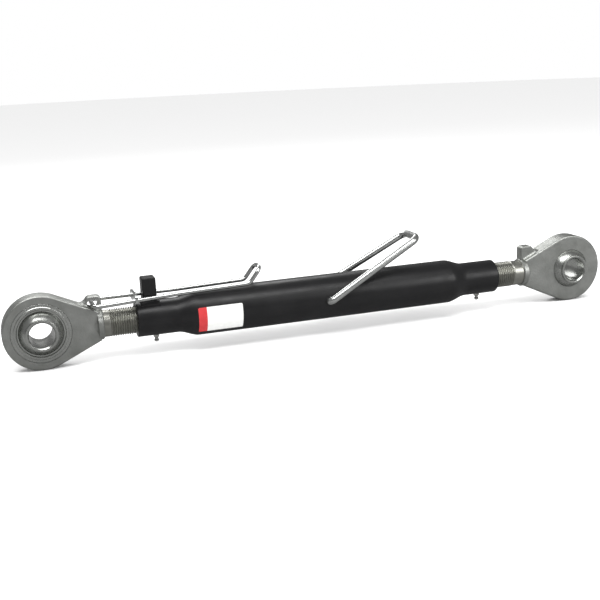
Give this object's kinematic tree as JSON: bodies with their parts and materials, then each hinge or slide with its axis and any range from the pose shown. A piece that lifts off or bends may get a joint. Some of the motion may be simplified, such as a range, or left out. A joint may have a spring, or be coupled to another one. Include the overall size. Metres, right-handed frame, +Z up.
{
  "type": "tractor top link",
  "caption": "Adjustable tractor top link: swaged threaded barrel with a swing-over turning handle, a wire lock bail, and a forged ball end at each side for a hitch pin.",
  "frame": {"origin": "centre of the left ball, on the axis of its pin hole", "axes": "+X along the link to the right ball, +Y along the pin holes to the far side, +Z up through the ears and the lock block"},
  "size_m": [0.851, 0.0812, 0.1245],
  "materials": {
    "black_paint": "satin black paint",
    "zinc_forging": "zinc plated drop forging",
    "zinc_turned": "zinc plated, turned",
    "zinc_thread": "rolled thread, zinc plated",
    "zinc_rod": "bright zinc plated rod",
    "zinc_wire": "bright zinc plated wire",
    "zinc_fitting": "zinc plated fitting",
    "label_paper": "blank coated paper label with a red end"
  },
  "bodies": {
    "barrel": {"tube": "black_paint", "lock_block": "black_paint", "lock_block_weld": "black_paint", "left_grease_nipple": "zinc_fitting", "right_grease_nipple": "zinc_fitting", "label": "label_paper"},
    "left_end": {"left_eye": "zinc_forging", "left_stud": "zinc_thread", "left_retainer": "zinc_turned"},
    "left_swivel": {"left_ball": "zinc_turned"},
    "right_end": {"right_eye": "zinc_forging", "right_stud": "zinc_thread", "right_retainer": "zinc_turned"},
    "right_swivel": {"right_ball": "zinc_turned"},
    "bail": {"lock_bail": "zinc_wire", "bail_spacer": "zinc_wire"},
    "handle": {"turning_handle": "zinc_rod"}
  },
  "joints": [
    {"name": "left_extension", "type": "slide", "parent": "barrel", "child": "left_end", "axis": [-1, 0, 0], "range_m": [-0.004, 0.118]},
    {"name": "right_extension", "type": "slide", "parent": "barrel", "child": "right_end", "axis": [1, 0, 0], "range_m": [-0.004, 0.118]},
    {"name": "left_ball_swivel", "type": "hinge", "parent": "left_end", "child": "left_swivel", "pos_m": [0, 0, 0], "axis": [0, 0, 1], "range_deg": [-20, 20]},
    {"name": "right_ball_swivel", "type": "hinge", "parent": "right_end", "child": "right_swivel", "pos_m": [0.755, 0, 0], "axis": [0, 0, 1], "range_deg": [-20, 20]},
    {"name": "bail_lift", "type": "hinge", "parent": "left_end", "child": "bail", "pos_m": [0.0665, 0, 0.0278], "axis": [0, -1, 0], "range_deg": [0, 145]},
    {"name": "handle_swing", "type": "hinge", "parent": "barrel", "child": "handle", "pos_m": [0.375, 0, 0], "axis": [0, -1, 0], "range_deg": [0, 124]}
  ],
  "couplings": [
    {"joint": "right_extension", "follows": "left_extension", "ratio": 1}
  ]
}
